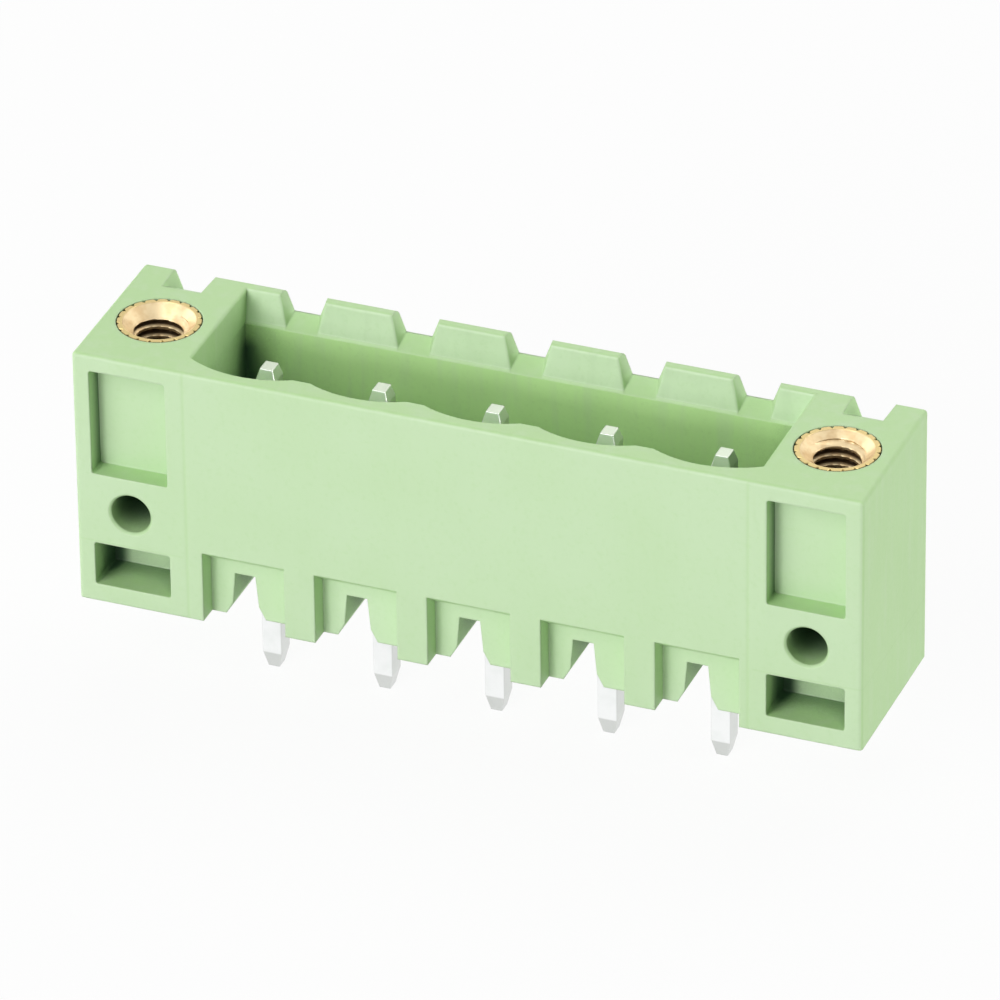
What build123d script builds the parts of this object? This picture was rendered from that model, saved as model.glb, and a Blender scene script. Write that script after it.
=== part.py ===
# Vertical board header that a pluggable terminal block pushes into.
# One green moulded housing carries a row of five contact pins in a deep
# open cavity, and a screw flange with a threaded brass insert at each end.
# The header is soldered to a circuit board, which holds it upright.
#
# Frame: the origin is the middle of the pin row in the plane of the board,
# +X runs along the row, +Y points to the toothed back wall, and +Z points
# up, out of the mouth of the cavity. All sizes are in millimetres.

import os

from build123d import *

# Pin row
positions = 5
pitch = 5.08

# Outside of the housing
end_margin = 7.40           # outer pin to the end face beside it
front_depth = 3.70          # pin row to the front face
back_depth = 4.30           # pin row to the back face
housing_height = 12.00
edge_radius = 0.18          # outer edges, apart from those on the board
mouth_radius = 0.14         # edges round the cavity's mouth and its teeth

# Cavity that takes the plug
floor_height = 3.60         # board to the cavity floor
back_wall = 0.80
front_wall = 0.67           # front wall at its thinnest, beside a pin
rib_wall = 1.17             # front wall at its thickest, between two pins
scallop_radius = 4.80

# Toothed top of the back wall
slot_floor_width = 1.17     # at the back face
slot_top_width = 1.91
slot_depth = 0.98
slot_mouth_floor = 1.48     # where the slot opens into the cavity
slot_mouth_top = 2.12
slot_fall = 0.57            # how far the floor drops towards the cavity
tooth_top = 0.50            # wall left at the top of a tooth
tooth_step = 0.10           # small step at the foot of a tooth
ramp_length = 1.63          # reach of the two ramped slots in the flanges
ramp_width = 1.76           # of such a ramp where it meets the top

# Bays and solder channels along the foot
bay_width = 3.72
bay_shift = 0.14            # bays sit a little to the right of their pins
bay_depth = 0.95
bay_height = 3.35
bay_slope = 0.70            # drop of the sloping top of a bay
channel_height = 2.05
channel_width = 0.92
channel_waist = 1.18
channel_foot = 1.80
channel_shift = -0.17       # channels sit a little to the left of their pins
waist_height = 0.58

# Flange pockets and side holes, measured from the end face
flange_hole_offset = 2.45   # end face to the middle of the threaded insert
window_edge = 0.75
window_width = 3.45
window_height = 5.00
window_top = 11.25
window_depth = 1.00
pocket_edge = 0.76
pocket_width = 3.45
pocket_height = 2.05
pocket_top = 2.87
pocket_depth = 2.10
pocket_corner = 0.12
side_hole_radius = 0.90
side_hole_height = 4.54
side_hole_depth = 5.00
side_hole_rim = 0.10

# Contact pins
pin_width = 0.88            # along the row
pin_thickness = 1.00        # across the row
pin_corner = 0.08
pin_top = 10.80             # above the board
pin_tail = 3.85             # below the board
top_taper = 0.50            # length of the drawn-in top
top_draw = 0.15             # how far each side is drawn in there
tail_taper = 0.75
tail_draw = 0.18
pin_clearance = 0.02

# Threaded inserts, for an M3 screw
insert_radius = 1.82
insert_length = 5.00
bore_radius = 1.25
funnel_radius = 1.66
funnel_depth = 0.40
knurl_count = 20
knurl_depth = 0.12
groove_width = 0.20         # width of a knurl groove where it opens
insert_clearance = 0.02
relief_depth = 0.80         # room under the insert for the screw's end
relief_radius = 1.60

# Places worked out from the sizes above
row_span = (positions - 1) * pitch
pin_places = [pitch * i - row_span / 2 for i in range(positions)]
half_length = row_span / 2 + end_margin
front_face = -front_depth
back_face = back_depth
cavity_half = positions * pitch / 2
cavity_back = back_face - back_wall
tooth_foot = cavity_back + tooth_step
tooth_face = back_face - tooth_top
tooth_foot_height = housing_height - slot_depth - slot_fall
flange_places = [-half_length + flange_hole_offset, half_length - flange_hole_offset]
reach = 1.0                 # how far a cutter sticks out into the open


def block(x_range, y_range, z_range):
    """A box between three pairs of limits."""
    spans = [high - low for low, high in (x_range, y_range, z_range)]
    middles = [(high + low) / 2 for low, high in (x_range, y_range, z_range)]
    return Pos(*middles) * Box(*spans)


def along_x(outline, x_low, x_high):
    """A solid with an outline in Y and Z, drawn out along X."""
    face = Plane.YZ.offset(x_low) * Polygon(*outline, align=None)
    return extrude(face, amount=x_high - x_low, dir=(1, 0, 0))


def along_y(outline, y_low, y_high):
    """A solid with an outline in X and Z, drawn out along Y."""
    face = Plane.XZ.offset(-y_low) * Polygon(*outline, align=None)
    return extrude(face, amount=y_high - y_low, dir=(0, 1, 0))


def housing_blank():
    """The outer block, rounded at its upright corners and round its top."""
    blank = block((-half_length, half_length), (front_face, back_face), (0, housing_height))
    rounded = blank.edges().filter_by(Axis.Z) + blank.edges().group_by(Axis.Z)[-1]
    return fillet(rounded, edge_radius)


def plug_cavity():
    """The cavity: one shallow arc of the front wall for each pole of the plug."""
    arc_middle = front_face + front_wall + scallop_radius
    rib_line = front_face + rib_wall
    plan = Pos(0, (rib_line + cavity_back) / 2) * Rectangle(row_span, cavity_back - rib_line)
    for x in pin_places:
        pole = Pos(x, (front_face + cavity_back) / 2) * Rectangle(pitch, cavity_back - front_face)
        plan += pole & Pos(x, arc_middle) * Circle(scallop_radius)
    return extrude(Pos(0, 0, floor_height) * plan, amount=housing_height - floor_height + reach)


def slot_face(x, y, depth, floor_width, flare):
    """The outline of a slot at one Y; each side leans out by the flare per mm of height."""
    floor = housing_height - depth
    above = housing_height + reach
    narrow = floor_width / 2
    wide = narrow + flare * (above - floor)
    outline = [(x - narrow, floor), (x + narrow, floor), (x + wide, above), (x - wide, above)]
    return Plane.XZ.offset(-y) * Polygon(*outline, align=None)


def tooth_slots():
    """One slot behind each pin, widening as it falls into the cavity, and a ramp in each flange."""
    mouth_depth = slot_depth + slot_fall
    back_flare = (slot_top_width - slot_floor_width) / 2 / slot_depth
    mouth_flare = (slot_mouth_top - slot_mouth_floor) / 2 / mouth_depth
    slots = []
    for x in pin_places:
        back = slot_face(x, back_face, slot_depth, slot_floor_width, back_flare)
        mouth = slot_face(x, cavity_back, mouth_depth, slot_mouth_floor, mouth_flare)
        slots.append(loft([back, mouth], ruled=True))
    for x in (pin_places[0] - pitch, pin_places[-1] + pitch):
        back = slot_face(x, back_face, slot_depth, slot_floor_width, back_flare)
        ramp_end = slot_face(x, back_face - ramp_length, 0, ramp_width, back_flare)
        slots.append(loft([back, ramp_end], ruled=True))
    return slots


def tooth_fronts():
    """The lead-in that leans the front of every tooth back from the cavity."""
    rise = housing_height - tooth_foot_height - tooth_step
    over = (rise + reach) / rise
    outline = [
        (cavity_back - reach, tooth_foot_height),
        (cavity_back, tooth_foot_height),
        (tooth_foot, tooth_foot_height + tooth_step),
        (tooth_foot + (tooth_face - tooth_foot) * over, housing_height + reach),
        (cavity_back - reach, housing_height + reach),
    ]
    return along_x(outline, -cavity_half, cavity_half)


def foot_bays():
    """Bays in the front of the foot, one round each pin, with a sloping top."""
    deep = front_face + bay_depth
    outline = [
        (front_face - reach, -reach),
        (deep, -reach),
        (deep, bay_height - bay_slope),
        (front_face, bay_height),
        (front_face - reach, bay_height),
    ]
    middles = [x + bay_shift for x in pin_places]
    return [along_x(outline, x - bay_width / 2, x + bay_width / 2) for x in middles]


def solder_channels():
    """Channels across the foot, one under each pin, wider at the board."""
    channels = []
    for pin in pin_places:
        x = pin + channel_shift
        outline = [
            (x - channel_width / 2, channel_height),
            (x + channel_width / 2, channel_height),
            (x + channel_waist / 2, waist_height),
            (x + channel_foot / 2, 0),
            (x + channel_foot / 2, -reach),
            (x - channel_foot / 2, -reach),
            (x - channel_foot / 2, 0),
            (x - channel_waist / 2, waist_height),
        ]
        channels.append(along_y(outline, front_face - reach, back_face + reach))
    return channels


def pin_seats():
    """Holes through the floor that the pins are pressed into."""
    wide = pin_width / 2 + pin_clearance
    deep = pin_thickness / 2 + pin_clearance
    height = (-reach, floor_height + reach)
    return [block((x - wide, x + wide), (-deep, deep), height) for x in pin_places]


def front_pocket(middle, width, height, top, depth):
    """A pocket in the front face, with softly rounded corners."""
    outline = Pos(middle, top - height / 2) * RectangleRounded(width, height, pocket_corner)
    face = Plane.XZ.offset(-front_face - depth) * outline
    return extrude(face, amount=depth + reach)


def flange_cuts(side):
    """Everything cut into one flange; side is -1 for left and 1 for right."""
    end_face = side * half_length
    window = end_face - side * (window_edge + window_width / 2)
    pocket = end_face - side * (pocket_edge + pocket_width / 2)
    hole = end_face - side * flange_hole_offset
    hole_front = Plane.XZ.offset(-front_face) * Pos(hole, side_hole_height)
    rim = loft([
        hole_front * Circle(side_hole_radius + side_hole_rim),
        hole_front * Pos(0, 0, -side_hole_rim) * Circle(side_hole_radius),
    ])
    seat_radius = insert_radius + insert_clearance
    seat_bottom = housing_height - insert_length
    seat = Pos(hole, 0, seat_bottom) * extrude(Circle(seat_radius), amount=insert_length + reach)
    relief = Pos(hole, 0, seat_bottom - relief_depth) * extrude(Circle(relief_radius), amount=relief_depth)
    return [
        front_pocket(window, window_width, window_height, window_top, window_depth),
        front_pocket(pocket, pocket_width, pocket_height, pocket_top, pocket_depth),
        extrude(hole_front * Circle(side_hole_radius), amount=-side_hole_depth),
        rim,
        seat,
        relief,
    ]


def near(edges, axis, place):
    """The edges whose middle is at one place along an axis."""
    return edges.filter_by_position(axis, place - 0.02, place + 0.02)


def mouth_edges(housing):
    """The edges round the cavity's mouth, and the top and sides of every tooth's front."""
    inside = housing.edges().filter_by_position(Axis.X, -cavity_half - 0.02, cavity_half + 0.02)
    top = near(inside, Axis.Z, housing_height)
    rim = top.filter_by_position(Axis.Y, front_face + 2 * edge_radius, cavity_back)
    tooth_tops = near(top, Axis.Y, tooth_face)
    between = inside.filter_by_position(Axis.X, 0.02 - cavity_half, cavity_half - 0.02)
    tooth_middles = near(between, Axis.Y, (tooth_foot + tooth_face) / 2)
    side_height = (tooth_foot_height + tooth_step + housing_height) / 2
    tooth_sides = near(tooth_middles, Axis.Z, side_height)
    return rim + tooth_tops + tooth_sides


def make_housing():
    """The moulded housing, one solid."""
    cuts = [plug_cavity(), tooth_fronts()]
    cuts += tooth_slots() + foot_bays() + solder_channels() + pin_seats()
    cuts += flange_cuts(-1) + flange_cuts(1)
    housing = housing_blank()
    for cut in cuts:
        housing -= cut
    return fillet(mouth_edges(housing), mouth_radius)


def pin_section(height, draw):
    """The section of a pin at one height, each side drawn in by the same amount."""
    width = pin_width - 2 * draw
    thickness = pin_thickness - 2 * draw
    corner = pin_corner * width / pin_width
    return Pos(0, 0, height) * RectangleRounded(width, thickness, corner)


def make_contact_pin(x):
    """A drawn pin with rounded corners, tapered to a flat at both ends."""
    low = -pin_tail + tail_taper
    high = pin_top - top_taper
    body = extrude(pin_section(low, 0), amount=high - low)
    top = loft([pin_section(high, 0), pin_section(pin_top, top_draw)])
    tail = loft([pin_section(low, 0), pin_section(-pin_tail, tail_draw)])
    return Pos(x, 0, 0) * (body + top + tail)


def make_threaded_insert(x):
    """A brass sleeve with a straight knurl outside and a wide funnel mouth."""
    outline = [
        (bore_radius, 0),
        (insert_radius, 0),
        (insert_radius, insert_length),
        (funnel_radius, insert_length),
        (bore_radius, insert_length - funnel_depth),
    ]
    sleeve = revolve(Plane.XZ * Polygon(*outline, align=None), Axis.Z)
    outside = insert_radius + knurl_depth
    root = (insert_radius - knurl_depth, 0)
    groove = Polygon(root, (outside, groove_width), (outside, -groove_width), align=None)
    pattern = Sketch() + PolarLocations(0, knurl_count) * groove
    grooves = extrude(pattern, amount=insert_length, dir=(0, 0, 1))
    return Pos(x, 0, housing_height - insert_length) * (sleeve - grooves)


parts = {"housing": make_housing()}
for number, place in enumerate(pin_places, start=1):
    parts[f"contact_pin_{number}"] = make_contact_pin(place)
for side_name, place in zip(("left", "right"), flange_places):
    parts[f"threaded_insert_{side_name}"] = make_threaded_insert(place)

os.makedirs("parts", exist_ok=True)
for name, shape in parts.items():
    shape.label = name
    export_step(shape, f"parts/{name}.step")
    print(f"{name}: {shape.volume:.3f} mm3, valid {shape.is_valid}")
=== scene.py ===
# %% [markdown]
# # An upright board header for a pluggable terminal block
#
# The object is a small green moulding, 35 mm long, that is soldered to a circuit
# board. Five tinned pins stand in an open cavity, and a knurled brass insert sits
# in the flange at each end for the screws of the plug.
#
# The measured solids are loaded first and never moved. This notebook then gives
# each of them its finish, and swaps the two plain brass sleeves for ones with a
# real thread. All lengths are in metres, so `mm` is used to write the small ones.

# %% Load the measured solids
import math

import bpy
import bmesh
from mathutils import Matrix, Vector


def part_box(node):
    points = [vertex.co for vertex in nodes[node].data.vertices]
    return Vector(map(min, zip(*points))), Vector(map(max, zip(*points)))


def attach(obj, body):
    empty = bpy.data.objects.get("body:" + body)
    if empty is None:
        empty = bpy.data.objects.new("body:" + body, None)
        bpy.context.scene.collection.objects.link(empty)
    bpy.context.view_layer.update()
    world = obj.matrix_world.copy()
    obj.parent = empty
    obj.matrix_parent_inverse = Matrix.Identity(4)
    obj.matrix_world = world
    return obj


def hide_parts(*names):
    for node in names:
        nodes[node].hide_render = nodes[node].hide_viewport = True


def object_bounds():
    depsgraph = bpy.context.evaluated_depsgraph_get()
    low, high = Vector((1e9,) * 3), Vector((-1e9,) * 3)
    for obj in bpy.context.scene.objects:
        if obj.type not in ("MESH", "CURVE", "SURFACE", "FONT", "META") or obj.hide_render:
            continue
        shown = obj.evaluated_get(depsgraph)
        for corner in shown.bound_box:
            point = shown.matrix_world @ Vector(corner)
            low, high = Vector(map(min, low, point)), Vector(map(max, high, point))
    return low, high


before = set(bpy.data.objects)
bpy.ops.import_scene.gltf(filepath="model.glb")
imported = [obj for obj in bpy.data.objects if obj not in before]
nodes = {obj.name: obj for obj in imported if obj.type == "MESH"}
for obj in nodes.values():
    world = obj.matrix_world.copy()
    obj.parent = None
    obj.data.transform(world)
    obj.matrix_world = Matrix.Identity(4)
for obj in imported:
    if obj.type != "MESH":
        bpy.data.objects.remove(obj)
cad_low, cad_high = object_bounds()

mm = 0.001
print("solids:", ", ".join(sorted(nodes)))
print("size in mm:", [round((high - low) / mm, 2) for low, high in zip(cad_low, cad_high)])

# %% [markdown]
# ## A short way to draw node trees
#
# Materials and Geometry Nodes are both graphs of nodes. Written out by hand, each
# sum takes three lines. `Wire` wraps one socket and overloads the arithmetic
# signs, so that `1 - mask * 2` adds its own Math nodes. Everything that isn't
# arithmetic comes from one method, `Graph.node`.

# %% Wires and graphs
class Wire:
    """One output socket. Arithmetic on it adds Math nodes to its tree."""

    def __init__(self, graph, socket):
        self.graph = graph
        self.socket = socket

    def math(self, operation, *values):
        """A Math node in this wire's tree, with these values in its sockets."""
        sockets = dict(enumerate(values))
        return self.graph.node("ShaderNodeMath", {"operation": operation}, sockets)

    def __add__(self, other):
        return self.math("ADD", self, other)

    def __radd__(self, other):
        return self.math("ADD", other, self)

    def __sub__(self, other):
        return self.math("SUBTRACT", self, other)

    def __rsub__(self, other):
        return self.math("SUBTRACT", other, self)

    def __mul__(self, other):
        return self.math("MULTIPLY", self, other)

    def __rmul__(self, other):
        return self.math("MULTIPLY", other, self)

    def __truediv__(self, other):
        return self.math("DIVIDE", self, other)

    def __rtruediv__(self, other):
        return self.math("DIVIDE", other, self)

    def __abs__(self):
        return self.math("ABSOLUTE", self)

    def other(self, name):
        """Another output of the same node."""
        return Wire(self.graph, self.socket.node.outputs[name])


class Graph:
    """A node tree, and the one method that adds a node to it."""

    def __init__(self, tree):
        self.tree = tree

    def node(self, kind, settings=None, sockets=None, output=0):
        """Adds a node, sets it up, fills or links its sockets, and gives one output."""
        made = self.tree.nodes.new(kind)
        for name, value in (settings or {}).items():
            setattr(made, name, value)
        for name, value in (sockets or {}).items():
            if isinstance(value, Wire):
                self.tree.links.new(value.socket, made.inputs[name])
            else:
                made.inputs[name].default_value = value
        return Wire(self, made.outputs[output]) if len(made.outputs) else made


print("Wire and Graph are ready")

# %% Helpers for masks
def larger(first, second):
    """The larger of two values; of two masks, where either of them is."""
    return first.math("MAXIMUM", first, second)


def smaller(first, second):
    """The smaller of two values."""
    return first.math("MINIMUM", first, second)


def distance(first, second):
    """How far a point is from an axis, from its two offsets."""
    squares = first * first + second * second
    return squares.math("SQRT", squares)


def step_up(value, low, high):
    """0 below low, 1 above high, and a smooth rise between them."""
    sockets = {"Value": value, "From Min": low, "From Max": high}
    return value.graph.node("ShaderNodeMapRange", {"interpolation_type": "SMOOTHSTEP"}, sockets)


def step_down(value, low, high):
    """1 below low, 0 above high, and a smooth fall between them."""
    return 1 - step_up(value, low, high)


def line_mask(value, place, half_width):
    """1 on a line at one place, fading to 0 at half_width from it."""
    return step_down(abs(value - place), 0, half_width)


print("a mask is 1 where something is and 0 where it isn't")

# %% Helpers for objects and their trees
def new_object(name, data):
    """A new object in the scene, at the origin."""
    made = bpy.data.objects.new(name, data)
    bpy.context.scene.collection.objects.link(made)
    return made


def empty_graph(owner):
    """The cleared node tree of a material or a world."""
    owner.use_nodes = True
    owner.node_tree.nodes.clear()
    return Graph(owner.node_tree)


print("new_object and empty_graph are ready")

# %% [markdown]
# ## Colours and patterns that every finish uses
#
# A finish reads Object coordinates, which for these pieces are the part's own
# frame. They are scaled to millimetres, so a pattern's scale is simply how many
# times it repeats in a millimetre. Colours are mixed with Mix nodes, because a
# Math node would turn them grey. Most finishes are a base colour under a few
# layers, each with a mask for where it lies and how strong it is.

# %% Start a finish, mix colours, roughen a surface
def start_finish(name):
    """A new material; gives the material, its graph and the place in millimetres."""
    material = bpy.data.materials.new(name)
    graph = empty_graph(material)
    place = graph.node("ShaderNodeTexCoord", output="Object")
    sockets = {0: place, "Scale": 1 / mm}
    return material, graph, graph.node("ShaderNodeVectorMath", {"operation": "SCALE"}, sockets)


def split(vector):
    """The X, Y and Z of a vector."""
    parts = vector.graph.node("ShaderNodeSeparateXYZ", {}, {"Vector": vector})
    return parts, parts.other("Y"), parts.other("Z")


def facing(graph):
    """The X, Y and Z of the way that a face looks."""
    return split(graph.node("ShaderNodeTexCoord", output="Normal"))


def mix_colours(share, low, high):
    """low where share is 0 and high where it is 1."""
    sockets = {0: share, 6: low, 7: high}
    return share.graph.node("ShaderNodeMix", {"data_type": "RGBA"}, sockets, output=2)


def paint(colour, *layers):
    """A colour under layers, each a share and the colour that it adds."""
    for share, tint in layers:
        colour = mix_colours(share, colour, tint)
    return colour


def speckle(graph, place_mm, per_mm, detail=2.0, stretch=(1, 1, 1)):
    """Noise round 0.5 that repeats so many times in a millimetre."""
    scaled = graph.node("ShaderNodeVectorMath", {"operation": "MULTIPLY"}, {0: place_mm, 1: stretch})
    return graph.node("ShaderNodeTexNoise", {}, {"Vector": scaled, "Scale": per_mm, "Detail": detail})


def rounding(graph, radius, samples):
    """A normal that is rounded over edges, with the radius in millimetres."""
    return graph.node("ShaderNodeBevel", {"samples": samples}, {"Radius": radius * mm})


def relief(height, depth, normal=None):
    """A bump of a height from 0 to 1, depth millimetres deep."""
    sockets = {"Height": height, "Distance": depth * mm, "Strength": 1.0}
    if normal is not None:
        sockets["Normal"] = normal
    return height.graph.node("ShaderNodeBump", {}, sockets)


def finish_with(graph, **sockets):
    """The shader and the material output."""
    named = {name.replace("_", " "): value for name, value in sockets.items()}
    shader = graph.node("ShaderNodeBsdfPrincipled", {}, named)
    graph.node("ShaderNodeOutputMaterial", {}, {"Surface": shader})


def wear(name, material):
    """One of the measured solids gets its finish."""
    nodes[name].data.materials.clear()
    nodes[name].data.materials.append(material)


print("finishes start from Object coordinates in millimetres")

# %% [markdown]
# ## The housing's plastic
#
# The real housing is injection-moulded glass-filled nylon in a pale grass green.
# Its surface is fine and dull, with a faint mottle from the mould, and its edges
# are slightly round, because melt doesn't fill a sharp corner. It could be a
# bevelled copy of the solid. The solid's own mesh is exact, so instead a Bevel
# node rounds only the shading, and bump adds the mould's texture and the few thin
# lines that the moulding leaves.
#
# What the finish does depends on the place, so the places come first. Those that
# the frame knows are read from its boxes, and the rest are sizes of the housing.
# The pockets are the low openings in the front of the flanges, under the round
# side holes, and the windows are the tall ones over them.

# %% Places on the housing, in millimetres
housing_low, housing_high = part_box("housing")
insert_low, insert_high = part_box("threaded_insert_right")
end_face = housing_high.x / mm
front_face = housing_low.y / mm
insert_middle = (insert_low.x + insert_high.x) / 2 / mm
insert_top = insert_high.z / mm

cavity_end = 12.70           # from the middle to each end wall
cavity_middle = 0.24
cavity_half_depth = 3.26
cavity_back = cavity_middle + cavity_half_depth
cavity_floor = 3.60
tooth_foot = 10.45           # height at which the back wall parts into teeth
bay_height = 3.35            # the bays of the foot reach up to here

side_hole_radius = 0.90
side_hole_height = 4.54
side_hole_end = 1.30
window_bottom = 6.25
window_depth = 1.00
pocket_bottom, pocket_top = 0.82, 2.87
pocket_inner, pocket_outer = 13.35, 16.80
pocket_depth = 2.10
window_back = front_face + window_depth
pocket_back = front_face + pocket_depth

sink_left, sink_right = -12.56, 12.54
witness_height = 2.95        # of the line where two parts of the mould met
print("front face at", round(front_face, 2), "and the end face at", round(end_face, 2))

# %% Start the plastic
plastic, graph, place = start_finish("moulded_green_plastic")
x, y, z = split(place)
facing_x, facing_y, _ = facing(graph)
facing_right = larger(facing_x, 0.0)
facing_front = step_up(0 - facing_y, 0.55, 0.90)

mottle = speckle(graph, place, 5.0, 3.0)
clouds = speckle(graph, place, 0.22, 1.0)
flow = speckle(graph, place, 1.6, 2.0, stretch=(1.0, 1.0, 0.12))

face_green = (0.480, 0.710, 0.345, 1)
pale_green = (0.545, 0.720, 0.455, 1)
deep_green = (0.420, 0.650, 0.285, 1)
painted_shade_green = (0.034, 0.085, 0.044, 1)
edge_highlight_green = (0.700, 0.860, 0.600, 1)
painted_glow_green = (0.590, 0.870, 0.390, 1)
painted_thin_glow_green = (0.650, 0.830, 0.555, 1)
print("seven greens and three scales of noise")

# %% [markdown]
# ### Where it is pale
#
# The faces that look to the front and the back are a little paler than the rest: painted light, for
# the soft light that falls on them. Painted light also lifts the cavity's back wall, the teeth and,
# more faintly, the foot, standing in for light that soaks through thin walls. Clouds, streaks of flow
# and a fine mottle lie over all of it.

# %% The pale layers
inside = (
    step_down(abs(x), cavity_end + 0.01, cavity_end + 0.08)
    * step_down(abs(y - cavity_middle), cavity_half_depth + 0.04, cavity_half_depth + 0.10)
    * step_down(z, tooth_foot - 0.10, tooth_foot + 0.20)
    * step_up(z, cavity_floor - 0.30, cavity_floor - 0.10)
)
# Painted light: faces that look to the front or the back are painted paler.
painted_face_light = step_up(abs(facing_y), 0.55, 0.90) * (1 - inside * 0.9)
on_teeth = (
    step_up(z, tooth_foot - 0.05, tooth_foot + 0.15)
    * step_up(y, cavity_back - 0.60, cavity_back - 0.20)
)
in_foot = (
    step_up(y, front_face + 0.20, front_face + 0.40)
    * step_down(z, bay_height - 0.05, bay_height + 0.05)
)
# Painted light: the front-looking faces of the cavity's back wall, the teeth and the foot are lifted
# to brighter greens.
soaked = facing_front * 0.95

colour = paint(
    face_green,
    (painted_face_light, pale_green),
    (inside * soaked, painted_glow_green),
    (larger(on_teeth, in_foot * 0.35) * soaked, painted_thin_glow_green),
    ((clouds - 0.35) * 0.5, deep_green),
    (step_up(flow, 0.42, 0.75) * 0.35, pale_green),
    (step_up(mottle, 0.5, 0.8) * 0.18, deep_green),
)
print("the plastic has", len(plastic.node_tree.nodes), "nodes so far")

# %% [markdown]
# ### Where it is dark
#
# Pockets and corners get painted shade, a deep bottle green painted into the colour where shade falls.
# The Ambient Occlusion node measures how open a place is, and where that is little the colour darkens.
# In the cavity, and on walls that look to the right, a place counts as less open than it measures, so
# more shade is painted there.
#
# Some shadows in the picture are darker than soft lamps can make them: those in
# the round side holes, most of all at their tops, in the two far corners of the
# cavity, and at the left wall of each window and pocket in the flanges. Each gets a
# mask of its own, and the strongest mask counts.

# %% Narrow places and the side holes
openness = graph.node("ShaderNodeAmbientOcclusion", {"samples": 8}, {"Distance": 4 * mm}, output="AO")
# Painted shade: the less open a place is, the further it darkens towards bottle green.
painted_recess_shade = step_down(openness - inside * 0.33 - facing_right * 0.05, 0.00, 0.29)

above_axis = z - side_hole_height
hole_radius = distance(abs(x) - insert_middle, above_axis)
# Painted shade in the side holes, strongest at their tops.
painted_hole_shade = (
    step_down(hole_radius, side_hole_radius + 0.04, side_hole_radius + 0.10)
    * step_up(y, front_face + 0.04, front_face + 1.10)
    * step_down(y, side_hole_end + 0.05, side_hole_end + 0.15)
    * (0.66 + above_axis * 0.36)
)
print("the side holes are", round(insert_middle, 2), "mm out, as the inserts are")

# %% Corners of the cavity
corner_shade_width = 0.5
corner_shade_growth = 0.6
to_corner = distance(cavity_end - abs(x), cavity_back - y)
below_rim = larger(tooth_foot + 0.15 - z, 0.0)
corner_reach = below_rim * corner_shade_growth + corner_shade_width
# Painted shade in the cavity's two far corners, widening downwards.
painted_corner_shade = step_down(to_corner / corner_reach, 0.02, 1.0) * inside * step_up(below_rim, 0.0, 1.4)
print("a corner's shade is", corner_shade_width, "mm wide at the rim and widens downwards")

# %% Left walls of the windows and pockets
# Painted shade on the left walls of the windows.
painted_window_wall_shade = (
    facing_right
    * step_up(y, front_face - 0.05, window_back + 0.04)
    * step_down(y, window_back + 0.08, window_back + 0.15)
    * step_up(abs(x), cavity_end + 0.02, cavity_end + 0.08)
    * step_down(abs(x), end_face - 0.46, end_face - 0.36)
    * step_up(z, window_bottom - 0.25, window_bottom + 0.05)
)

pocket_middle = (pocket_inner + pocket_outer) / 2
pocket_half = (pocket_outer - pocket_inner) / 2
in_pocket = (
    step_down(abs(abs(x) - pocket_middle), pocket_half + 0.015, pocket_half + 0.055)
    * step_up(z, pocket_bottom - 0.04, pocket_bottom)
    * step_down(z, pocket_top + 0.01, pocket_top + 0.05)
    * step_up(y, front_face + 0.02, front_face + 0.30)
    * step_down(y, pocket_back + 0.02, pocket_back + 0.10)
)
on_right_flange = step_up(x, -1.0, 1.0)
from_left_wall = x + pocket_outer - on_right_flange * (pocket_inner + pocket_outer)
to_pocket_corner = distance(from_left_wall * 1.7, (y - pocket_back) * 0.75)
# Painted shade in each pocket's corner between its left wall and its back.
painted_pocket_corner_shade = step_down(to_pocket_corner, 0.45, 1.50) * in_pocket

# The strongest of the painted shades counts, and all of it darkens the colour.
shade = painted_recess_shade
for mask in (painted_hole_shade, painted_corner_shade, painted_window_wall_shade * 0.85, painted_pocket_corner_shade * 0.97):
    shade = larger(shade, mask)
colour = paint(colour, (shade, painted_shade_green))
print("pockets are", round(2 * pocket_half, 2), "mm wide")

# %% [markdown]
# ### Lines and edges
#
# The melt shrinks a little where a thick wall stands behind the front face, which leaves a faint
# upright line beside each flange; its dent is a bump, and its darker colour is painted shade. A second
# line, low on the flanges, is where two parts of the mould met. Where the rounded normal and the flat
# one disagree there is an edge, and edges that stand free are painted paler: a painted highlight, for
# the light that a rounded edge catches.

# %% Lines, edges and the finished plastic
on_front = step_down(y, front_face + 0.04, front_face + 0.10)
sinks = (line_mask(x, sink_left, 0.12) + line_mask(x, sink_right, 0.12)) * on_front
witness = line_mask(z, witness_height, 0.08) * step_up(abs(x), cavity_end, cavity_end + 0.10)
height = 0.5 + (mottle - 0.5) * 0.8 - sinks * 0.6 - witness * 0.4

round_edges = rounding(graph, 0.13, samples=6)
flat = graph.node("ShaderNodeNewGeometry", output="Normal")
sockets = {0: round_edges, 1: flat}
agree = graph.node("ShaderNodeVectorMath", {"operation": "DOT_PRODUCT"}, sockets, output="Value")
painted_edge_highlight = step_down(agree, 0.80, 0.99) * step_up(openness, 0.55, 0.85)

# Painted shade darkens the sink lines, and a painted highlight makes the free edges paler.
colour = paint(colour, (sinks * 0.30 + witness * 0.25, deep_green), (painted_edge_highlight * 0.55, edge_highlight_green))
finish_with(
    graph,
    Base_Color=colour,
    Roughness=0.46 + (mottle - 0.5) * 0.16,
    Normal=relief(height, 0.012, round_edges),
)
wear("housing", plastic)
print("housing wears", plastic.name, "with", len(plastic.node_tree.nodes), "nodes")

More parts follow.
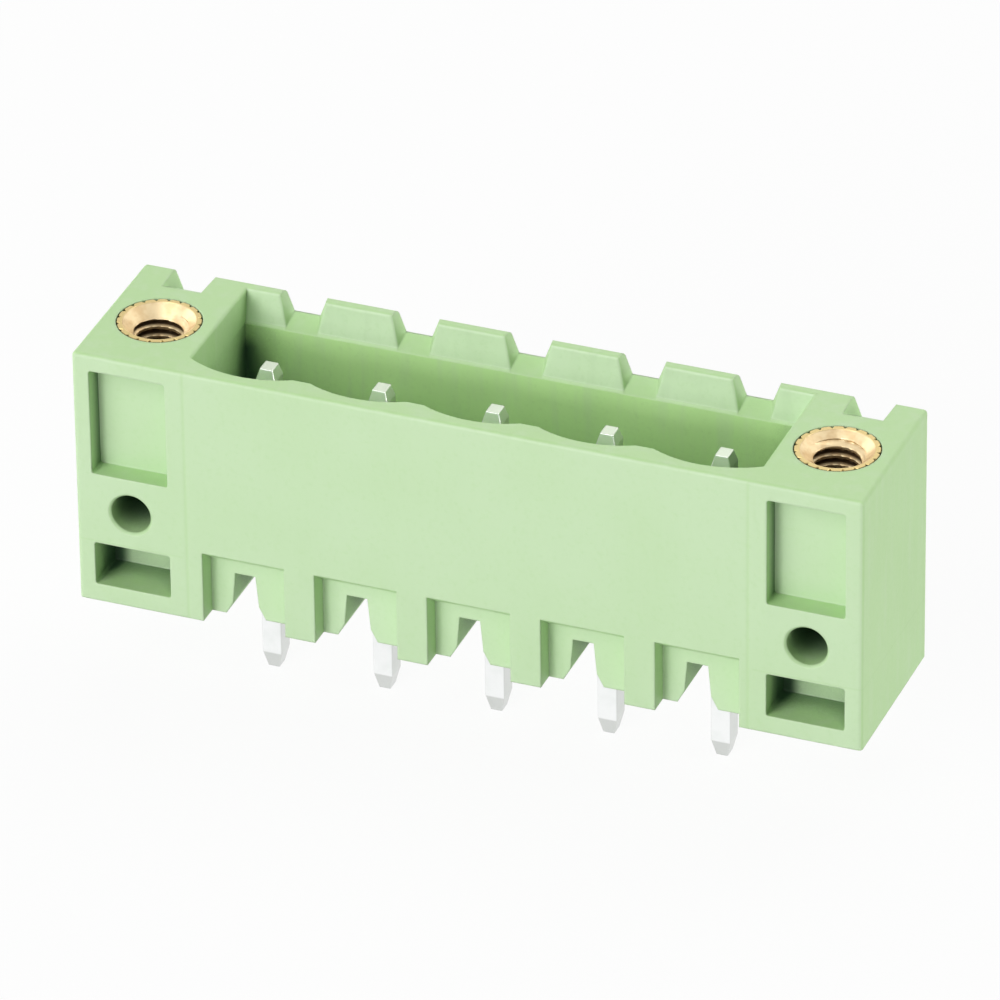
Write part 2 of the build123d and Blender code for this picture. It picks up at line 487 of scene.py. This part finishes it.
# %% [markdown]
# ## The tinned pins
#
# Each pin is square wire, drawn through a die and tinned. Tin is a white, softly shining metal, and
# the die leaves fine lines along the wire. The pins' solids are right as they are, so they only get
# this finish: a rough metal whose bump is noise pulled out along the pin. The sides and the pressed
# tips are painted darker than the front: painted shade, for how the light falls on them. The tops lie
# towards the light from behind, and painted shade there, a greyer tin, keeps them from burning out.

# %% Tinned wire
tail_taper = 0.75
taper_start = cad_low[2] / mm + tail_taper
bright_tin = (0.95, 0.96, 0.96, 1)
cloudy_tin = (0.88, 0.90, 0.89, 1)
side_shade_tin = (0.53, 0.55, 0.52, 1)
top_shade_tin = (0.345, 0.385, 0.310, 1)

tin, graph, place = start_finish("tinned_wire")
_, _, z = split(place)
facing_x, _, facing_z = facing(graph)
drawn = speckle(graph, place, 9.0, 3.0, stretch=(1.0, 1.0, 0.06))
bloom = speckle(graph, place, 1.2, 2.0)
on_side = step_up(abs(facing_x), 0.5, 0.9)
on_taper = step_down(z, taper_start - 0.05, taper_start + 0.05)
on_top = step_up(facing_z, 0.7, 0.9)
# Painted shade: the sides, the tips and the tops get darker tin by the way they face.
colour = paint(
    bright_tin,
    (step_up(bloom, 0.35, 0.75), cloudy_tin),
    (larger(on_side, on_taper) * 0.62, side_shade_tin),
    (on_top, top_shade_tin),
)
finish_with(
    graph,
    Base_Color=colour,
    Metallic=1.0,
    Roughness=0.24 + bloom * 0.16,
    Normal=relief(drawn, 0.004, rounding(graph, 0.05, samples=4)),
)
pin_names = sorted(name for name in nodes if name.startswith("contact_pin"))
for name in pin_names:
    wear(name, tin)
print(len(pin_names), "pins wear", tin.name)

# %% [markdown]
# ## Brass for the inserts
#
# The inserts are turned from brass rod and threaded. Turning leaves fine rings.
# The thread's roots and the bottom of the bore are painted dark: painted shade, for the light that
# doesn't reach into them. The crests and the cone are bright, and the rim and the knurl are tarnished.
# The finish works out how far a point is from the insert's own axis, and uses that radius for the
# rings and for each of these zones. One finish serves both inserts, because they stand at the same
# distance on either side of the middle.

# %% Sizes of an insert, in millimetres
insert_length = 5.0
outer_radius = 1.82
mouth_radius = 1.55
root_radius = 1.25
crest_radius = 1.00
print("an insert is", insert_length, "mm long and", 2 * outer_radius, "mm across")

# %% Turned brass
bright_brass = (0.680, 0.550, 0.335, 1)
stained_brass = (0.575, 0.425, 0.235, 1)
rim_brass = (0.410, 0.320, 0.140, 1)
tarnish = (0.110, 0.105, 0.035, 1)
root_shade_brown = (0.060, 0.030, 0.012, 1)
bore_shade_brown = (0.050, 0.028, 0.012, 1)

brass, graph, place = start_finish("turned_brass")
x, y, z = split(place)
radius = distance(abs(x) - insert_middle, y)
depth = insert_top - z
rings_place = graph.node("ShaderNodeCombineXYZ", {}, {"X": radius, "Y": depth, "Z": 0.0})
rings = speckle(graph, rings_place, 14.0, 2.0)
stain = speckle(graph, place, 2.2, 2.0)

on_rim = step_up(radius, mouth_radius - 0.03, mouth_radius + 0.05) * step_down(depth, 0.02, 0.10)
outside = step_up(radius, outer_radius - 0.06, outer_radius - 0.02)
# Painted shade: the thread's roots and the deep bore are darkened towards brown.
painted_root_shade = step_up(radius, crest_radius + 0.06, crest_radius + 0.15) * step_up(depth, 0.46, 0.60)
painted_bore_shade = step_up(depth, 1.3, 3.5)
colour = paint(
    bright_brass,
    (step_up(stain, 0.35, 0.70), stained_brass),
    (on_rim, rim_brass),
    (outside, tarnish),
    (painted_root_shade * 0.92, root_shade_brown),
    (painted_bore_shade * 0.9, bore_shade_brown),
)
finish_with(
    graph,
    Base_Color=colour,
    Metallic=1.0,
    Roughness=0.36 + rings * 0.16,
    Normal=relief(rings, 0.006),
)
print("brass stands", round(insert_middle, 2), "mm out from the middle")

# %% [markdown]
# ## A way to run a Geometry Nodes tree
#
# A tree gets named inputs for its sizes. A modifier knows its inputs by their
# identifiers, so they are looked up there. The evaluated result is turned into a
# plain mesh, and the modifier goes, so that nothing live is left on the piece.

# %% Trees in, plain meshes out
def start_tree(name, inputs):
    """A Geometry Nodes tree with named inputs; gives the tree, its graph and the inputs."""
    tree = bpy.data.node_groups.new(name, "GeometryNodeTree")
    kinds = {"Geometry": "NodeSocketGeometry", "Material": "NodeSocketMaterial"}
    for socket_name, value in inputs.items():
        kind = kinds.get(socket_name, "NodeSocketInt" if isinstance(value, int) else "NodeSocketFloat")
        tree.interface.new_socket(socket_name, in_out="INPUT", socket_type=kind)
    tree.interface.new_socket("Geometry", in_out="OUTPUT", socket_type="NodeSocketGeometry")
    graph = Graph(tree)
    return tree, graph, graph.node("NodeGroupInput")


def end_tree(graph, geometry, inputs):
    """Copies made real, seams closed, and the material put on."""
    real = graph.node("GeometryNodeRealizeInstances", {}, {"Geometry": geometry})
    sockets = {"Geometry": real, "Distance": 0.0005 * mm}
    closed = graph.node("GeometryNodeMergeByDistance", {}, sockets)
    sockets = {"Geometry": closed, "Material": inputs.other("Material")}
    done = graph.node("GeometryNodeSetMaterial", {}, sockets)
    graph.node("NodeGroupOutput", {}, {"Geometry": done})


def run_tree(tree, start_mesh, values):
    """The mesh that a tree makes from a mesh and its sizes."""
    carrier = new_object("carrier", start_mesh)
    modifier = carrier.modifiers.new("tree", "NODES")
    modifier.node_group = tree
    inputs = [item for item in tree.interface.items_tree if item.in_out == "INPUT"]
    identifiers = {item.name: item.identifier for item in inputs}
    for name, value in values.items():
        modifier[identifiers[name]] = value
    evaluated = carrier.evaluated_get(bpy.context.evaluated_depsgraph_get())
    mesh = bpy.data.meshes.new_from_object(evaluated)
    carrier.modifiers.clear()
    bpy.data.objects.remove(carrier)
    return mesh


print("start_tree, end_tree and run_tree are ready")

# %% [markdown]
# ## The knurled outside of an insert
#
# A straight knurl is the same ridge twenty times round. One slice is drawn in
# code, from the bottom face up the ridge and in over the rim, with half a groove
# on each side. The tree then turns a copy of it for every ridge and closes the
# seams. An array modifier could do the same, but the tree keeps the count as an
# input with a name.

# %% One ridge of the knurl
ridge_count = 20
groove_radius = 1.67
groove_half_angle = math.radians(3.6)
rim_round = 0.04
mouth_depth = 0.5 * rim_round
crown_shares = (-1.0, -0.55, -0.18, 0.18, 0.55, 1.0)
points_per_row = len(crown_shares) + 2
columns_per_ridge = points_per_row - 1


def ridge_mesh():
    """One ridge with half a groove on each side, as a strip of seven faces a row."""
    half = math.pi / ridge_count
    flank = half - groove_half_angle
    ridge_angles = [-half] + [share * flank for share in crown_shares] + [half]
    even_angles = [-half + 2 * half * i / columns_per_ridge for i in range(points_per_row)]
    radii = [groove_radius] + [outer_radius] * len(crown_shares) + [groove_radius]
    rows = [
        (even_angles, [crest_radius] * points_per_row, -insert_length),
        (ridge_angles, [r - rim_round for r in radii], -insert_length),
        (ridge_angles, radii, rim_round - insert_length),
        (ridge_angles, radii, -rim_round),
        (ridge_angles, [max(r - rim_round, mouth_radius + rim_round) for r in radii], 0.0),
        (even_angles, [mouth_radius + 0.4 * rim_round] * points_per_row, 0.0),
        (even_angles, [mouth_radius] * points_per_row, -mouth_depth),
    ]
    points = []
    for angles, row_radii, height in rows:
        for angle, r in zip(angles, row_radii):
            points.append((r * math.cos(angle) * mm, r * math.sin(angle) * mm, height * mm))
    faces = []
    for row in range(len(rows) - 1):
        for column in range(columns_per_ridge):
            first = row * points_per_row + column
            above = first + points_per_row
            faces.append((first, first + 1, above + 1, above))
    mesh = bpy.data.meshes.new("one_ridge")
    mesh.from_pydata(points, [], faces)
    return mesh


one_ridge = ridge_mesh()
print("one ridge has", len(one_ridge.polygons), "faces")

# %% The ring of ridges
knurl_inputs = {"Geometry": None, "Ridge Count": ridge_count, "Material": None}
knurl_tree, graph, inputs = start_tree("knurl ring", knurl_inputs)
count = inputs.other("Ridge Count")
points = graph.node("GeometryNodePoints", {}, {"Count": count})
turn = graph.node("GeometryNodeInputIndex") * (2 * math.pi) / count
rotation = graph.node("FunctionNodeAxisAngleToRotation", {}, {"Axis": (0, 0, 1), "Angle": turn})
sockets = {"Points": points, "Instance": inputs.other("Geometry"), "Rotation": rotation}
copies = graph.node("GeometryNodeInstanceOnPoints", {}, sockets)
end_tree(graph, copies, inputs)
knurl_mesh = run_tree(knurl_tree, one_ridge, {"Ridge Count": ridge_count, "Material": brass})
print("the knurl has", len(knurl_mesh.polygons), "faces")

# %% [markdown]
# ## The thread
#
# The picture shows about 0.45 mm from crest to crest and 2 mm across the crests,
# which is an M2.5 thread: a groove of 60 degrees that winds down 0.45 mm a turn,
# with a flat of a quarter of the pitch on its crests and an eighth in its roots.
# A cone leads the screw into it. Both follow a rule, so the tree starts from a
# flat grid: its X becomes the way round and its Y the depth. The radius at each
# point is whichever cuts deeper, the cone or the thread, and that makes the thread
# run out in the cone as a real tap leaves it. The thread is right-handed, so its
# depth falls as the angle, which runs anticlockwise, grows. The left insert's cone
# is a little steeper, and its thread starts a seventh of a turn further round.

# %% Sizes of the thread
crest_flat = 0.25
root_flat = 0.125
thread_inputs = {
    "Pitch": 0.45,
    "Crest Radius": crest_radius,
    "Root Radius": root_radius,
    "Mouth Radius": mouth_radius,
    "Mouth Slope": 1.20,
    "Start": 0.963,
    "Length": insert_length,
    "Columns": ridge_count * columns_per_ridge,
    "Rows": 200,
    "Material": None,
}
print("the grid has", thread_inputs["Columns"], "by", thread_inputs["Rows"], "faces")

# %% A grid rolled up into a threaded bore
thread_tree, graph, inputs = start_tree("thread wall", thread_inputs)
sizes = {name: inputs.other(name) for name in thread_inputs}
sockets = {
    "Size X": 1.0,
    "Size Y": 1.0,
    "Vertices X": sizes["Columns"] + 1,
    "Vertices Y": sizes["Rows"] + 1,
}
sheet = graph.node("GeometryNodeMeshGrid", {}, sockets)
grid_x, grid_y, _ = split(graph.node("GeometryNodeInputPosition"))
around = grid_x + 0.5
down = (0.5 - grid_y) * (sizes["Length"] - mouth_depth) + mouth_depth

turns = down / sizes["Pitch"] + around + sizes["Start"]
wave = abs(turns.math("FRACT", turns) - 0.5) * 2
flank_share = 1 - crest_flat - root_flat
groove = smaller(larger((wave - crest_flat) / flank_share, 0.0), 1.0)
fading = smaller(larger((sizes["Length"] - down) / sizes["Pitch"], 0.0), 1.0)
groove_depth = sizes["Root Radius"] - sizes["Crest Radius"]
thread_radius = sizes["Crest Radius"] + groove_depth * groove * fading
cone_radius = sizes["Mouth Radius"] - (down - mouth_depth) * sizes["Mouth Slope"]
wall_radius = larger(thread_radius, cone_radius) * mm

angle = around * (2 * math.pi) - math.pi / ridge_count
sockets = {
    "X": wall_radius * angle.math("COSINE", angle),
    "Y": wall_radius * angle.math("SINE", angle),
    "Z": down * -mm,
}
rolled = graph.node("ShaderNodeCombineXYZ", {}, sockets)
wall = graph.node("GeometryNodeSetPosition", {}, {"Geometry": sheet, "Position": rolled})
end_tree(graph, wall, inputs)
print("the thread's tree has", len(thread_tree.nodes), "nodes")

# %% [markdown]
# ## Putting an insert together
#
# The knurled ring and the threaded wall meet in two circles that have the same
# number of points, so they join into one closed shell. The shell is placed in
# its mesh, over the plain sleeve that it stands for.

# %% Two inserts
def make_insert(name, changes):
    """A threaded insert in the place of the plain one."""
    values = {**thread_inputs, "Material": brass, **changes}
    shell = bmesh.new()
    shell.from_mesh(knurl_mesh)
    shell.from_mesh(run_tree(thread_tree, bpy.data.meshes.new("seed"), values))
    bmesh.ops.remove_doubles(shell, verts=shell.verts, dist=0.002 * mm)
    open_edges = sum(1 for edge in shell.edges if not edge.is_manifold)
    bmesh.ops.recalc_face_normals(shell, faces=shell.faces)
    low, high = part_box(name)
    middle = Vector(((low.x + high.x) / 2, (low.y + high.y) / 2, high.z))
    bmesh.ops.translate(shell, verts=shell.verts, vec=middle)
    mesh = bpy.data.meshes.new(name + "_threaded")
    shell.to_mesh(mesh)
    shell.free()
    mesh.materials.clear()
    mesh.materials.append(brass)
    mesh.shade_smooth()
    mesh.set_sharp_from_angle(angle=math.radians(28))
    insert = new_object(name + "_threaded", mesh)
    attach(insert, "root")
    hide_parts(name)
    print(insert.name, len(mesh.polygons), "faces,", open_edges, "open edges")


make_insert("threaded_insert_left", {"Mouth Slope": 1.02, "Start": 1.10})
make_insert("threaded_insert_right", {})

# %% [markdown]
# ## Floor and light
#
# The picture is bright and soft, on white. The floor is pale and dull, and keeps
# a faint shadow: what the camera sees of it is mostly plain white, mixed with the
# lit surface. From below the floor isn't drawn, so the underside can be looked
# at. In the picture, faces that look to the front are bright right into their
# pockets, and walls that look to the right are dark there, so the main light is
# low and almost straight in front. A higher and larger lamp lights the top, and
# three more stand at the right, the left and behind, so no side falls dark.

# %% The floor
def seen_by_camera(graph):
    """1 for rays that the camera sees, also those that came by a mirror or through glass."""
    ray = graph.node("ShaderNodeLightPath", output="Is Camera Ray")
    return smaller(ray + ray.other("Is Glossy Ray") + ray.other("Is Transmission Ray"), 1.0)


floor_reach = 0.6
floor_height = cad_low[2] - 0.01 * mm
corners = [(-1, -1), (1, -1), (1, 1), (-1, 1)]
floor_points = [(a * floor_reach, b * floor_reach, floor_height) for a, b in corners]
floor_mesh = bpy.data.meshes.new("floor")
floor_mesh.from_pydata(floor_points, [], [(0, 1, 2, 3)])
new_object("floor", floor_mesh)

floor_white = bpy.data.materials.new("floor_white")
graph = empty_graph(floor_white)
seen = seen_by_camera(graph)
lit = graph.node("ShaderNodeBsdfDiffuse", {}, {"Color": (0.86, 0.87, 0.86, 1)})
white = graph.node("ShaderNodeEmission", {}, {"Color": (1, 1, 1, 1), "Strength": 1.0})
clear = graph.node("ShaderNodeBsdfTransparent")
below = graph.node("ShaderNodeNewGeometry", output="Backfacing")
top_side = graph.node("ShaderNodeMixShader", {}, {0: seen * 0.93, 1: lit, 2: white})
both_sides = graph.node("ShaderNodeMixShader", {}, {0: below, 1: top_side, 2: clear})
graph.node("ShaderNodeOutputMaterial", {}, {"Surface": both_sides})
floor_mesh.materials.append(floor_white)
print("floor at", round(floor_height / mm, 2), "mm")

# %% The sky
world = bpy.data.worlds.new("pale_studio")
bpy.context.scene.world = world
graph = empty_graph(world)
sky = mix_colours(seen_by_camera(graph), (0.03, 0.03, 0.03, 1), (1, 1, 1, 1))
backdrop = graph.node("ShaderNodeBackground", {}, {"Color": sky})
graph.node("ShaderNodeOutputWorld", {}, {"Surface": backdrop})
print("sky", world.name)

# %% Five soft lamps
lamp_distance = 0.60


def soft_lamp(name, azimuth, elevation, size, watts):
    """A square lamp aimed at the middle; azimuth 0 is in front, 90 at the right."""
    turn, tilt = math.radians(azimuth), math.radians(elevation)
    out = Vector((math.sin(turn) * math.cos(tilt), -math.cos(turn) * math.cos(tilt), math.sin(tilt)))
    data = bpy.data.lights.new(name, "AREA")
    data.shape = "SQUARE"
    data.size = size
    data.energy = watts
    aimed = out.to_track_quat("Z", "Y").to_matrix().to_4x4()
    new_object(name, data).matrix_world = Matrix.Translation(out * lamp_distance) @ aimed


soft_lamp("front_lamp", -14, 15, 0.16, 1.15)
soft_lamp("front_high_lamp", -20, 36, 0.50, 2.10)
soft_lamp("right_lamp", 106, 9, 0.30, 1.98)
soft_lamp("back_lamp", 175, 50, 0.60, 1.88)
soft_lamp("left_lamp", -100, 18, 0.45, 1.30)

# %% [markdown]
# ## The camera
#
# The picture was taken from the right and a little above, through a long lens.
# The place and turn below were fitted to measured corners of the object.

# %% The fitted camera
camera_place = (0.13818, -0.34772, 0.23372)
right_side = Vector((0.9319, 0.36254, -0.01123))
up_side = Vector((-0.17935, 0.48748, 0.85452))
back_side = Vector((0.31527, -0.79431, 0.5193))
turned = Matrix((right_side, up_side, back_side)).transposed().to_4x4()
camera_data = bpy.data.cameras.new("picture_camera")
camera_data.sensor_width = 36.0
camera_data.lens = 377.09
camera_data.clip_start = 0.01
camera_data.clip_end = 10.0
camera = new_object("picture_camera", camera_data)
camera.matrix_world = Matrix.Translation(camera_place) @ turned
bpy.context.scene.camera = camera
bpy.context.scene.view_settings.view_transform = "Standard"
print("camera at", [round(v, 4) for v in camera.location])
